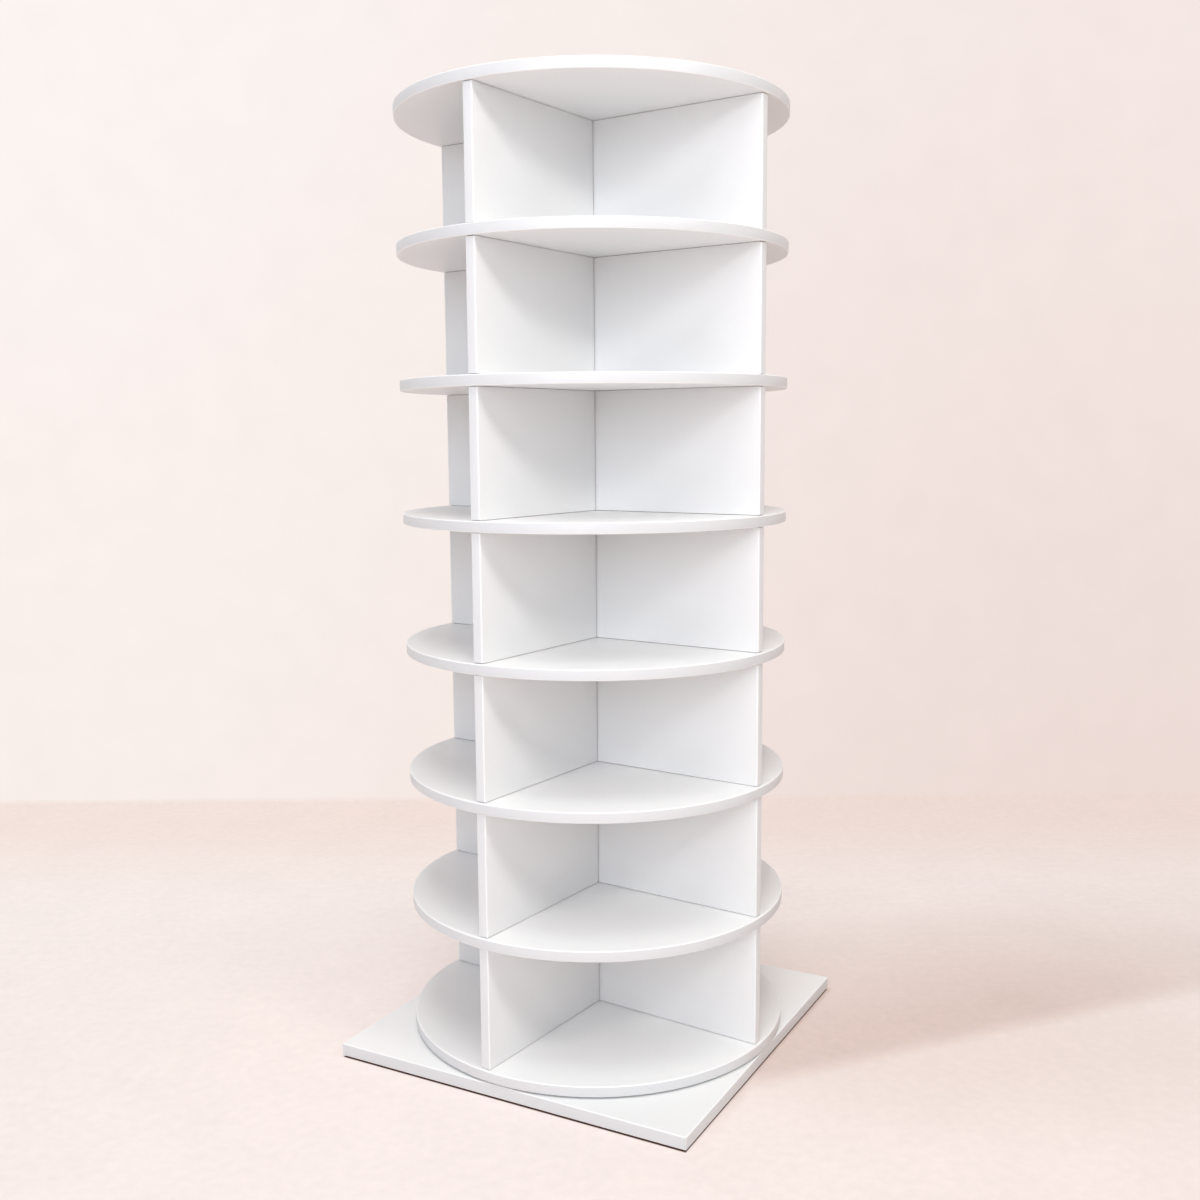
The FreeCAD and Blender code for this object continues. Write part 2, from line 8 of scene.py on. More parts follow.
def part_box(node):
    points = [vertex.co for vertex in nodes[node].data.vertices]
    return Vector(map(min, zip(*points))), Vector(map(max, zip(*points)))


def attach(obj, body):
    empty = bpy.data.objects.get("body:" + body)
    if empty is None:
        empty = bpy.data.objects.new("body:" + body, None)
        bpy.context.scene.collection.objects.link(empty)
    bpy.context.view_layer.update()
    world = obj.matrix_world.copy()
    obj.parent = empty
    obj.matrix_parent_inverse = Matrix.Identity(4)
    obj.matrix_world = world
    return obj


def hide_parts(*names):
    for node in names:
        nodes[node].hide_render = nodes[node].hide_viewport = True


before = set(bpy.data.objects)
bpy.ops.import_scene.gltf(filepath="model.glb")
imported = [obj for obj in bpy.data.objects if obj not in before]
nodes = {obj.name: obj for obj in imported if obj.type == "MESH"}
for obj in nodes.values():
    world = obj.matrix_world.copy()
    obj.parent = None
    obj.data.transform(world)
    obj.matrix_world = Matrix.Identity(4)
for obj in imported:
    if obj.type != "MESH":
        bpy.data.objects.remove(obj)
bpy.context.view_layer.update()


# ---- camera ----
# Stands 1.9 m from the spin axis, off the corner of the dividers' cross, as high as the fifth
# tier from the floor and tipped a little down, so that the undersides of the upper discs show
# and so do the tops of the lower ones.

camera_distance = 1.925
camera_height = 0.906
camera_side = math.radians(34.42)       # round the spin axis, from -Y towards +X
camera_tilt = math.radians(7.26)        # below the horizon
camera_swing = math.radians(0.21)       # aimed to the right of the spin axis
camera_roll = math.radians(0.41)        # clockwise, seen from behind
camera_lens = 39.02                     # millimetres, as the sensor's width is
sensor_width = 36

bpy.ops.object.select_all(action="DESELECT")
bpy.ops.object.camera_add()
camera = bpy.context.object
camera.name = "camera"
camera.data.sensor_width = sensor_width
camera.data.lens = camera_lens
camera.matrix_world = (
    Matrix.Rotation(camera_side, 4, "Z")
    @ Matrix.Translation((0, -camera_distance, camera_height))
    @ Matrix.Rotation(-camera_swing, 4, "Z")
    @ Matrix.Rotation(math.pi / 2 - camera_tilt, 4, "X")
    @ Matrix.Rotation(-camera_roll, 4, "Z")
)
bpy.context.scene.camera = camera


# ---- base board ----
# A square of 18 mm particle board faced with white melamine film, with a round recess in its
# top for the turntable. The film is pressed on a steel plate with a very fine pearl texture,
# which softens its shine without any visible pattern.

def put(tree, kind, inputs=None, **settings):
    """Adds a node to a tree. An input is a value or another node's output."""
    made = tree.nodes.new("ShaderNode" + kind)
    for setting, value in settings.items():
        setattr(made, setting, value)
    for socket, value in (inputs or {}).items():
        if isinstance(value, bpy.types.NodeSocket):
            tree.links.new(value, made.inputs[socket])
        else:
            made.inputs[socket].default_value = value
    return made


def calculated(tree, operation, *values):
    """The result of a sum on one or two values, such as MULTIPLY or MAXIMUM."""
    return put(tree, "Math", dict(enumerate(values)), operation=operation).outputs[0]


def ramp(tree, value, start, end, first=0.0, last=1.0, smooth=False):
    """Goes from first to last as a value goes from start to end, and stays there beyond."""
    kind = "SMOOTHSTEP" if smooth else "LINEAR"
    made = put(tree, "MapRange", {"Value": value, "From Min": start, "From Max": end,
                                  "To Min": first, "To Max": last}, interpolation_type=kind)
    return made.outputs[0]


def noise(tree, place, scale, detail, roughness=0.5):
    """Uneven grey from 0 to 1, with scale as the number of spots in a metre."""
    made = put(tree, "TexNoise", {"Vector": place, "Scale": scale, "Detail": detail,
                                  "Roughness": roughness})
    return made.outputs["Fac"]


def scaled(tree, colour, factor):
    """A colour made lighter or darker."""
    return put(tree, "VectorMath", {0: colour, "Scale": factor}, operation="SCALE").outputs[0]


def mixed(tree, share, first, last):
    """Goes from one colour to another as share goes from 0 to 1."""
    return put(tree, "Mix", {0: share, 6: first, 7: last}, data_type="RGBA").outputs[2]


def bump(tree, height, strength, depth):
    """The normals of a surface that is raised by height, up to depth in metres."""
    made = put(tree, "Bump", {"Height": height, "Strength": strength, "Distance": depth})
    return made.outputs[0]


def new_finish(name, inputs):
    """An empty group that gives a colour, a roughness and a normal."""
    group = bpy.data.node_groups.new(name, "ShaderNodeTree")
    outputs = {"Colour": "Color", "Roughness": "Float", "Normal": "Vector"}
    for way, sockets in (("INPUT", inputs), ("OUTPUT", outputs)):
        for socket, kind in sockets.items():
            group.interface.new_socket(name=socket, in_out=way, socket_type="NodeSocket" + kind)
    return group, group.nodes.new("NodeGroupInput").outputs


def close_finish(group, colour, roughness, normal):
    """Joins a finish group's results to its output."""
    result = group.nodes.new("NodeGroupOutput")
    for socket, value in (("Colour", colour), ("Roughness", roughness), ("Normal", normal)):
        group.links.new(value, result.inputs[socket])
    return group


def pearl_film_group():
    """Fine pressed grain: a faint cloudiness of tone, of gloss, and a bump below a millimetre."""
    group, given = new_finish("pearl_film", {
        "Place": "Vector", "Colour": "Color", "Cloud": "Float", "Gloss_loss": "Float",
        "Grain_per_metre": "Float", "Grain_depth": "Float"})
    darkest = calculated(group, "SUBTRACT", 1.0, given["Cloud"])
    tone = ramp(group, noise(group, given["Place"], 5.0, 3.0), 0.35, 0.65, first=darkest)
    gloss = ramp(group, noise(group, given["Place"], 17.0, 2.0), 0.3, 0.7, -0.04, 0.04)
    grain = noise(group, given["Place"], given["Grain_per_metre"], 1.0)
    return close_finish(group, scaled(group, given["Colour"], tone),
                        calculated(group, "ADD", given["Gloss_loss"], gloss),
                        bump(group, grain, 0.5, given["Grain_depth"]))


def new_material(name, **constants):
    """A material, its tree and its shader, whose plain values are set on the shader itself."""
    material = bpy.data.materials.new(name)
    material.use_nodes = True
    tree = material.node_tree
    shader = tree.nodes["Principled BSDF"]
    for socket, value in constants.items():
        shader.inputs[socket.replace("_", " ")].default_value = value
    return material, tree, shader


def object_place(tree, stretch=(1, 1, 1)):
    """Where a point is on the piece, in metres, with its axes stretched."""
    where = put(tree, "TexCoord").outputs["Object"]
    return put(tree, "Mapping", {"Vector": where, "Scale": stretch}).outputs[0]


def finished(name, group, values, **constants):
    """A material with a finish group whose results are joined to the shader."""
    material, tree, shader = new_material(name, **constants)
    finish = put(tree, "Group", node_tree=group)
    tree.links.new(object_place(tree), finish.inputs["Place"])
    for socket, value in values.items():
        finish.inputs[socket].default_value = value
    for given, taken in (("Colour", "Base Color"), ("Roughness", "Roughness"),
                         ("Normal", "Normal")):
        tree.links.new(finish.outputs[given], shader.inputs[taken])
    return material, tree, finish


def pearl_finished(name, colour, cloud, gloss_loss, grain_per_metre, grain_depth, **constants):
    """A material with the pearl film's finish; cloud is how much darker its clouds are."""
    values = {"Colour": colour, "Cloud": cloud, "Gloss_loss": gloss_loss,
              "Grain_per_metre": grain_per_metre, "Grain_depth": grain_depth}
    return finished(name, pearl_film, values, **constants)[0]


def dress(names, material):
    """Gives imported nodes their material."""
    for name in names:
        for slot in nodes[name].material_slots:
            slot.material = material


pearl_film = pearl_film_group()
laminate = pearl_finished("white_laminate", (0.87, 0.87, 0.868, 1), cloud=0.015,
                          gloss_loss=0.42, grain_per_metre=900, grain_depth=0.00003)
dress(["base_board"], laminate)


# ---- base edge bands ----
# Four strips of 2 mm white ABS glued round the base in a pinwheel, each covering one side and
# the end of the next. A cutter has rounded their outer edges, and the extruder has left faint
# lines along them.

def open_in_edit_mode(name):
    """Names the primitive just added, puts its place into its mesh and opens it to be shaped."""
    piece = bpy.context.object
    piece.name = piece.data.name = name
    bpy.ops.object.transform_apply(location=True, rotation=True, scale=True)
    bpy.ops.object.mode_set(mode="EDIT")
    return piece


def start_block(name, low, high):
    """Starts a piece from a block between two corners."""
    low, high = Vector(low), Vector(high)
    bpy.ops.object.select_all(action="DESELECT")
    bpy.ops.mesh.primitive_cube_add(size=1, location=(low + high) / 2, scale=high - low)
    return open_in_edit_mode(name)


def choose_edges(piece, wanted):
    """Selects only the edges for whose middle and direction wanted says yes."""
    bpy.ops.mesh.select_mode(type="EDGE")
    bpy.ops.mesh.select_all(action="DESELECT")
    for edge in bmesh.from_edit_mesh(piece.data).edges:
        start, end = (corner.co for corner in edge.verts)
        if wanted((start + end) / 2, (end - start).normalized()):
            edge.select_set(True)
    bmesh.update_edit_mesh(piece.data)


def smooth_bends():
    """Leaves edit mode and smooths what bends by less than 40 degrees."""
    bpy.ops.object.mode_set(mode="OBJECT")
    bpy.ops.object.shade_smooth_by_angle(angle=math.radians(40))


def close_piece(piece, *materials):
    """Merges doubled corners, turns every face outwards, smooths the rounded edges and dresses
    the piece."""
    bpy.ops.mesh.select_all(action="SELECT")
    bpy.ops.mesh.remove_doubles(threshold=0.000001)
    bpy.ops.mesh.normals_make_consistent(inside=False)
    smooth_bends()
    for material in materials:
        piece.data.materials.append(material)


def copy_of(piece, name, change):
    """A copy of a piece with a mesh of its own, turned or moved by a matrix."""
    copy = piece.copy()
    copy.data = piece.data.copy()
    copy.name = copy.data.name = name
    copy.data.transform(change)
    bpy.context.scene.collection.objects.link(copy)
    return copy


def join(piece, others):
    """Joins other pieces to a piece."""
    bpy.ops.object.select_all(action="DESELECT")
    for each in (piece, *others):
        each.select_set(True)
    bpy.context.view_layer.objects.active = piece
    bpy.ops.object.join()


def repeat_around(piece, count):
    """Repeats a piece round the spin axis and joins all to one piece."""
    join(piece, [copy_of(piece, f"{piece.name}_{step}",
                         Matrix.Rotation(math.tau * step / count, 4, "Z"))
                 for step in range(1, count)])


def extruded_band_group():
    """Pearl film with faint lines along the strip, which Stretch lays across its thin way."""
    group, given = new_finish("extruded_band", {
        "Place": "Vector", "Stretch": "Vector", "Colour": "Color"})
    lined = put(group, "VectorMath", {0: given["Place"], 1: given["Stretch"]},
                operation="MULTIPLY")
    lines = noise(group, lined.outputs[0], 1.0, 3.0)
    tone = ramp(group, noise(group, given["Place"], 6.0, 2.0), 0.35, 0.65, first=0.985)
    return close_finish(group, scaled(group, given["Colour"], tone),
                        ramp(group, lines, 0.3, 0.7, 0.32, 0.44),
                        bump(group, lines, 0.3, 0.00003))


arris = 0.0015              # rounding of a band's outer edges
arris_steps = 5
glue_line = 0.0002          # bevel of a band's inner edges, which leaves a hairline
band_white = (0.742, 0.746, 0.754, 1)
milled_white_and_highlight = (0.93, 0.93, 0.932, 1)   # the same plastic where the cutter has gone, paler there, and a painted highlight along the rounded edges
extruded_band = extruded_band_group()


def band_material(name, face_white, stretch, slope):
    """White ABS, paler where it is milled, which is partly a painted highlight on the rounded
    edges.
    Slope gives how far a point's surface is turned off the band's flat face, from how far it
    faces along X, Y and Z."""
    material, tree, finish = finished(name, extruded_band, {"Stretch": stretch})
    facing = put(tree, "TexCoord").outputs["Normal"]
    either_way = put(tree, "VectorMath", {0: facing}, operation="ABSOLUTE")
    along = put(tree, "SeparateXYZ", {0: either_way.outputs[0]}).outputs
    # Painted highlight as well as milled plastic: paler where the surface turns off the flat
    # face.
    milled_and_highlight = ramp(tree, slope(tree, along), 0.1, 0.45, smooth=True)
    tree.links.new(mixed(tree, milled_and_highlight, face_white, milled_white_and_highlight), finish.inputs["Colour"])
    return material


level_band = band_material("white_band_level", band_white, (3, 3, 900),
                           lambda tree, along: along["Z"])

base_turn = math.radians(5.7)           # of the base's sides from the dividers
base_low, base_high = (corner.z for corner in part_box("base_edge_bands"))
half_base = 0.555 / 2
band = 0.002                            # thickness of a band
band_joint = 0.0001                     # gap between a strip's end and the next strip

base_bands = start_block("base_bands", (-half_base, -half_base, base_low),
                         (half_base - band - band_joint, band - half_base, base_high))


def is_outer_edge_of_strip(middle, way):
    if abs(way.z) > 0.5:
        return middle.x < 0 and middle.y < band / 2 - half_base
    return middle.y < band / 2 - half_base or middle.x < band / 2 - half_base


def is_glued_edge_of_strip(middle, way):
    return middle.y > band * 0.9 - half_base and abs(way.x) > 0.5


choose_edges(base_bands, is_outer_edge_of_strip)
bpy.ops.mesh.bevel(offset=arris, segments=arris_steps)
choose_edges(base_bands, is_glued_edge_of_strip)
bpy.ops.mesh.bevel(offset=glue_line)
close_piece(base_bands, level_band)
repeat_around(base_bands, 4)
base_bands.data.transform(Matrix.Rotation(base_turn, 4, "Z"))
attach(base_bands, "base")
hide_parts("base_edge_bands")


# ---- floor pads ----
# Four round pads of black rubber, 2 mm thick, stuck under the base near its corners. Only a
# thin dark line under the base shows that they are there, partly the gap's own shade and partly
# shade painted on the floor under the base.

def start_round(name, radius, low, high, corners, x=0, y=0):
    """Starts a piece from an upright round bar between two heights."""
    bpy.ops.object.select_all(action="DESELECT")
    bpy.ops.mesh.primitive_cylinder_add(vertices=corners, radius=radius, depth=high - low,
                                        location=(x, y, (low + high) / 2))
    return open_in_edit_mode(name)


rubber = pearl_finished("pad_rubber", (0.022, 0.021, 0.02, 1), cloud=0.25, gloss_loss=0.78,
                        grain_per_metre=1500, grain_depth=0.0001, Specular_IOR_Level=0.35)

pad_low, pad_high = (corner.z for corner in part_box("base_feet"))
pad_radius = 0.015
pad_place = half_base - 0.034           # from the middle of the base, both ways
pad_rounding = 0.0005
hair = 0.0001                           # what still counts as the same height
floor_pads = start_round("floor_pads", pad_radius, pad_low, pad_high, 64, pad_place, pad_place)
choose_edges(floor_pads, lambda middle, way: middle.z < pad_low + hair)
bpy.ops.mesh.bevel(offset=pad_rounding, segments=3)
close_piece(floor_pads, rubber)
repeat_around(floor_pads, 4)
floor_pads.data.transform(Matrix.Rotation(base_turn, 4, "Z"))
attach(floor_pads, "base")
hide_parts("base_feet")


# ---- turntable ----
# Two aluminium rings, turned on a lathe, with steel balls between them in a strip cage of
# natural nylon. Eight zinc-plated screws hold each ring: the fixed one to the base from below,
# the turning one to the bottom disc.

def tool_marks_group():
    """Concentric lines about the spin axis, as a lathe leaves them, with a faint tarnish."""
    group, given = new_finish("tool_marks", {
        "Place": "Vector", "Colour": "Color", "Gloss_loss": "Float"})
    flat = put(group, "VectorMath", {0: given["Place"], 1: (1, 1, 0)}, operation="MULTIPLY")
    radius = put(group, "VectorMath", {0: flat.outputs[0]}, operation="LENGTH")
    height = put(group, "SeparateXYZ", {0: given["Place"]})
    turned = put(group, "CombineXYZ", {"X": radius.outputs["Value"], "Y": height.outputs["Z"]})
    lines = noise(group, turned.outputs[0], 2500.0, 2.0)
    tone = ramp(group, noise(group, given["Place"], 40.0, 3.0), 0.3, 0.7, first=0.88)
    spread = ramp(group, lines, 0.0, 1.0, -0.08, 0.08)
    return close_finish(group, scaled(group, given["Colour"], tone),
                        calculated(group, "ADD", given["Gloss_loss"], spread),
                        bump(group, lines, 0.4, 0.00003))


tool_marks = tool_marks_group()
aluminium = finished("turned_aluminium", tool_marks, {
    "Colour": (0.77, 0.78, 0.79, 1), "Gloss_loss": 0.34}, Metallic=1.0)[0]
steel = finished("polished_ball", tool_marks, {
    "Colour": (0.83, 0.84, 0.85, 1), "Gloss_loss": 0.12}, Metallic=1.0)[0]
zinc = pearl_finished("zinc_plate", (0.66, 0.68, 0.70, 1), cloud=0.2, gloss_loss=0.33,
                      grain_per_metre=2500, grain_depth=0.00002, Metallic=1.0)
nylon = pearl_finished("natural_nylon", (0.80, 0.78, 0.68, 1), cloud=0.06, gloss_loss=0.46,
                       grain_per_metre=1800, grain_depth=0.00003, Subsurface_Weight=0.2,
                       Subsurface_Scale=0.002)
dress(["turntable_lower_ring", "turntable_upper_ring"], aluminium)
dress(["bearing_balls"], steel)
dress(["turntable_base_screws", "turntable_disc_screws"], zinc)
dress(["ball_cage"], nylon)


# ---- discs ----
# Eight round boards of 15 mm white laminate: the bottom disc on the turntable, six shelves and
# the top. All are sawn from one pattern. Their screw heads and dowel holes lie under the
# dividers or the caps, so the boards are plain outside.

def choose_faces(piece, wanted):
    """Selects only the faces for whose middle and normal wanted says yes."""
    bpy.ops.mesh.select_mode(type="FACE")
    bpy.ops.mesh.select_all(action="DESELECT")
    for face in bmesh.from_edit_mesh(piece.data).faces:
        if wanted(face.calc_center_median(), face.normal):
            face.select_set(True)
    bmesh.update_edit_mesh(piece.data)


disc_names = ["bottom_disc", *(f"shelf_disc_{number}" for number in range(1, 7)), "top_disc"]
disc_low, disc_high = (corner.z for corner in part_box("bottom_disc"))
board_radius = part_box("bottom_disc")[1].x
rim_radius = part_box("bottom_disc_edge_band")[1].x
tier_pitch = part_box("shelf_disc_1")[0].z - disc_low
rim_corners = 256
rim_ring = 0.02             # ring of faces round a board's flat sides

disc_board = start_round("bottom_disc_board", board_radius, disc_low, disc_high, rim_corners)
choose_edges(disc_board, lambda middle, way: abs(way.z) < 0.5)
bpy.ops.mesh.bevel(offset=glue_line)
choose_faces(disc_board, lambda middle, normal: abs(normal.z) > 0.9)
bpy.ops.mesh.inset(thickness=rim_ring, use_individual=True)
close_piece(disc_board, laminate)
for level, name in enumerate(disc_names):
    lifted = Matrix.Translation((0, 0, level * tier_pitch))
    board = copy_of(disc_board, f"{name}_board", lifted) if level else disc_board
    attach(board, "tower")
    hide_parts(name)


# ---- disc rims ----
# A 2 mm white ABS band glued round each disc. Both outer edges are rounded like those of the
# base and painted paler, partly as a painted highlight, so each rim shows as a flat face between
# two light lines.

disc_rim = start_round("bottom_disc_rim", rim_radius, disc_low, disc_high, rim_corners)
choose_faces(disc_rim, lambda middle, normal: abs(normal.z) > 0.9)
bpy.ops.mesh.inset(thickness=rim_radius - board_radius, use_individual=True)
bpy.ops.mesh.delete(type="ONLY_FACE")


def is_inner_loop(middle, way):
    return abs(way.z) < 0.5 and middle.xy.length < (rim_radius + board_radius) / 2 \
        and abs(way.xy.normalized().dot(middle.xy.normalized())) < 0.5


def is_outer_loop(middle, way):
    return abs(way.z) < 0.5 and middle.xy.length > rim_radius - arris / 2


choose_edges(disc_rim, is_inner_loop)
bpy.ops.mesh.bridge_edge_loops()
choose_edges(disc_rim, is_outer_loop)
bpy.ops.mesh.bevel(offset=arris, segments=arris_steps)
choose_edges(disc_rim, is_inner_loop)
bpy.ops.mesh.bevel(offset=glue_line)
close_piece(disc_rim, level_band)
for level, name in enumerate(disc_names):
    lifted = Matrix.Translation((0, 0, level * tier_pitch))
    rim = copy_of(disc_rim, f"{name}_rim", lifted) if level else disc_rim
    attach(rim, "tower")
    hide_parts(f"{name}_edge_band")


# ---- dividers ----
# Each tier has one board from rim to rim along X and two short ones butted to its middle, all
# of the same laminate. Their sawn edges are eased where they meet a disc or another board, and
# the bare core there shows as a thin dark line.

def sawn_core_material():
    """Bare particle board: pressed wood flakes of mixed browns."""
    core, tree, shader = new_material("sawn_core", Roughness=0.85)
    flakes = put(tree, "TexVoronoi", {"Vector": object_place(tree), "Scale": 700.0})
    shade = put(tree, "SeparateColor", {"Color": flakes.outputs["Color"]})
    browns = put(tree, "ValToRGB", {"Fac": shade.outputs[0]})
    browns.color_ramp.elements[0].color = (0.20, 0.14, 0.09, 1)
    browns.color_ramp.elements[1].color = (0.44, 0.34, 0.24, 1)
    tree.links.new(browns.outputs["Color"], shader.inputs["Base Color"])
    tree.links.new(bump(tree, flakes.outputs["Distance"], 0.6, 0.0002), shader.inputs["Normal"])
    return core


seam_below = 0.0007         # open edge along the disc below
seam_above = 0.0006         # open edge along the disc above
seam_beside = 0.0014        # open edge where a short divider meets the long one
seam_depth = 0.0020         # how far these go in
core = sawn_core_material()
tier_low, tier_high = (corner.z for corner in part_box("long_divider_1"))
board_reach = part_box("long_divider_1")[1].x
half_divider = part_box("long_divider_1")[1].y


def divider_board(name, low, high, butted):
    """A laminated board whose sawn faces meet their neighbours behind an eased edge; a butted
    one also has its +Y end sawn."""
    seams = {(0, 0, -1): seam_below, (0, 0, 1): seam_above}
    if butted:
        seams[(0, 1, 0)] = seam_beside
    low, high = Vector(low), Vector(high)
    low.z += seam_below
    high.z -= seam_above
    high.y -= seams.get((0, 1, 0), 0)
    centre = (low + high) / 2
    board = start_block(name, low, high)
    board.data.materials.append(laminate)
    board.data.materials.append(core)

    def is_upright_at_band(middle, way):
        return abs(way.z) > 0.5 and middle.xy.length > board_reach

    def is_core(middle, normal):
        return not low.z < middle.z < high.z or (butted and middle.y >= high.y)

    choose_edges(board, is_upright_at_band)
    bpy.ops.mesh.bevel(offset=glue_line)
    for outward, seam in seams.items():
        outward = Vector(outward)
        choose_faces(board, lambda middle, normal: normal.dot(outward) > 0.9
                     and (middle - centre).cross(outward).length < 0.001)
        bpy.ops.mesh.inset(thickness=seam_depth, use_individual=True)
        bpy.ops.mesh.extrude_faces_move(TRANSFORM_OT_shrink_fatten={"value": seam})
    choose_faces(board, is_core)
    board.active_material_index = 1
    bpy.ops.object.material_slot_assign()
    close_piece(board)
    return board


long_board = divider_board("long_divider_1_board", (-board_reach, -half_divider, tier_low),
                           (board_reach, half_divider, tier_high), butted=False)
short_board = divider_board("front_divider_1_board", (-half_divider, -board_reach, tier_low),
                            (half_divider, -half_divider, tier_high), butted=True)
for tier in range(1, 8):
    lifted = Matrix.Translation((0, 0, (tier - 1) * tier_pitch))
    for original, name, turn in ((long_board, f"long_divider_{tier}", 0),
                                 (short_board, f"front_divider_{tier}", 0),
                                 (short_board, f"rear_divider_{tier}", math.pi)):
        is_original = original.name == f"{name}_board"
        board = original if is_original else copy_of(
            original, f"{name}_board", lifted @ Matrix.Rotation(turn, 4, "Z"))
        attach(board, "tower")
        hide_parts(name)


# ---- divider edge bands ----
# An upright strip of the same ABS on each divider's outer end, with both outer edges rounded.
# Trimmed just short of the discs, so a fine dark line shows above and below it.

# Painted light: the upright strips are painted a lighter white than the level bands of the same
# ABS, for how the lamps fall on them.
upright_white_painted_light = (0.81, 0.812, 0.818, 1)
upright_band = band_material("white_band_upright", upright_white_painted_light, (900, 900, 3),
                             lambda tree, along: calculated(tree, "MINIMUM", along["X"],
                                                            along["Y"]))

trimmed = 0.0011            # how far a strip stops from the discs
divider_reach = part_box("divider_edge_bands_1")[1].x
divider_ends = start_block("divider_edge_bands_1_strips",
                           (board_reach, -half_divider, tier_low + trimmed),
                           (divider_reach, half_divider, tier_high - trimmed))
choose_edges(divider_ends, lambda middle, way: abs(way.z) > 0.5
             and middle.x > divider_reach - arris)
bpy.ops.mesh.bevel(offset=arris, segments=arris_steps)
choose_edges(divider_ends, lambda middle, way: abs(way.z) > 0.5
             and middle.x < board_reach + glue_line)
bpy.ops.mesh.bevel(offset=glue_line)
close_piece(divider_ends, upright_band)
repeat_around(divider_ends, 4)
for tier in range(1, 8):
    lifted = Matrix.Translation((0, 0, (tier - 1) * tier_pitch))
    strips = divider_ends if tier == 1 else copy_of(
        divider_ends, f"divider_edge_bands_{tier}_strips", lifted)
    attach(strips, "tower")
    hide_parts(f"divider_edge_bands_{tier}")


# ---- dowels and shelf screws ----
# Beech dowels with fine straight grain stand in the discs and run through each cross. Zinc-
# plated screws pull every disc down on the dividers below it. All of them are hidden.

def beech_material():
    """Bare beech: fine straight grain up the piece, with short darker flecks."""
    beech, tree, shader = new_material("bare_beech", Roughness=0.62)
    grain = noise(tree, object_place(tree, (900, 900, 40)), 1.0, 4.0)
    flecks = noise(tree, object_place(tree, (2200, 2200, 260)), 1.0, 1.0)
    light = put(tree, "ValToRGB", {"Fac": grain})
    light.color_ramp.elements[0].position = 0.35
    light.color_ramp.elements[0].color = (0.47, 0.27, 0.13, 1)
    light.color_ramp.elements[1].position = 0.65
    light.color_ramp.elements[1].color = (0.62, 0.41, 0.22, 1)
    tinted = scaled(tree, light.outputs["Color"], ramp(tree, flecks, 0.55, 0.75, 1.0, 0.7))
    tree.links.new(tinted, shader.inputs["Base Color"])
    tree.links.new(bump(tree, grain, 0.4, 0.0001), shader.inputs["Normal"])
    return beech


dress(["shelf_dowels", "cross_dowels"], beech_material())
dress(["shelf_screws", "bottom_disc_screws"], zinc)


# ---- screw caps ----
# Eight thin white plastic caps pressed over the screw heads in the top disc, a little glossier
# than the board, with a rounded edge.

cap_plastic = pearl_finished("cap_plastic", (0.88, 0.88, 0.87, 1), cloud=0.02, gloss_loss=0.26,
                             grain_per_metre=3000, grain_depth=0.00001, Coat_Weight=0.15,
                             Coat_Roughness=0.1)

cap_low, cap_high = (corner.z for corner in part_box("top_screw_caps"))
cap_radius = 0.0065
cap_rounding = 0.0007
outer_cap_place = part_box("top_screw_caps")[1].x - cap_radius
inner_cap_place = 0.088
screw_caps = start_round("screw_caps", cap_radius, cap_low, cap_high, 48, outer_cap_place)
close_piece(screw_caps, cap_plastic)
join(screw_caps, [copy_of(screw_caps, "inner_cap", Matrix.Translation(
    (inner_cap_place - outer_cap_place, 0, 0)))])
bpy.ops.object.mode_set(mode="EDIT")
choose_edges(screw_caps, lambda middle, way: middle.z > (cap_low + cap_high) / 2 + hair)
bpy.ops.mesh.bevel(offset=cap_rounding, segments=4)
close_piece(screw_caps)
repeat_around(screw_caps, 4)
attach(screw_caps, "tower")
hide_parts("top_screw_caps")


# ---- floor and backdrop ----
# One sheet of pale paper that lies on the floor and sweeps up 1.2 m behind the tower. It is
# seen from its front only, so that views from behind or below look through it.

paper_behind = 1.23
paper_sides = 6.0
paper_height = 5.0
sweep = 0.03                # radius of the bend between floor and wall
sweep_steps = 16

bpy.ops.object.select_all(action="DESELECT")
bpy.ops.mesh.primitive_plane_add(size=1, location=(0, (paper_behind - paper_sides) / 2, 0))
bpy.ops.transform.resize(value=(2 * paper_sides, paper_sides + paper_behind, 1))
paper = open_in_edit_mode("paper")
choose_edges(paper, lambda middle, way: middle.y > paper_behind - sweep)
bpy.ops.mesh.extrude_region_move(TRANSFORM_OT_translate={"value": (0, 0, paper_height)})
choose_edges(paper, lambda middle, way: middle.y > paper_behind - sweep and middle.z < sweep
             and abs(way.x) > 0.5)
bpy.ops.mesh.bevel(offset=sweep, segments=sweep_steps)
smooth_bends()
paper.rotation_euler.z = camera_side

# Painted shade: the floor and wall are darker to the right and towards the wall's foot, and the
# floor darker towards the wall.
floor_left, floor_right = (0.935, 0.845, 0.81, 1), (0.875, 0.77, 0.735, 1)
left_wall_low, left_wall_high = (0.95, 0.86, 0.82, 1), (0.968, 0.908, 0.885, 1)
right_wall_low, right_wall_high = (0.845, 0.71, 0.67, 1), (0.915, 0.81, 0.775, 1)
# Painted shade: the floor under the base is painted nearly black.
painted_shade_under_base = (0.12, 0.06, 0.045, 1)
untinted = (1, 1, 1, 1)
# Painted shadow of the tower on the floor takes this tint.
shade_tint = (0.76, 0.68, 0.645, 1)
far_tint = (0.97, 0.91, 0.885, 1)
near_shade_reach = 0.02     # of the painted shadow line beside the base
wide_shade_depth = 0.22     # of the faint painted shadow all round, where the long one is 0.8 deep
long_shade_turn = -0.38     # of the long painted shadow from the wall's direction, in radians


def how_far(tree, place, shift, stretch):
    """How far a point is from a spot, along stretched axes; shift then brings that spot to the
    origin."""
    moved = put(tree, "Mapping", {"Vector": place, "Location": shift, "Scale": stretch})
    return put(tree, "VectorMath", {0: moved.outputs[0]}, operation="LENGTH").outputs["Value"]


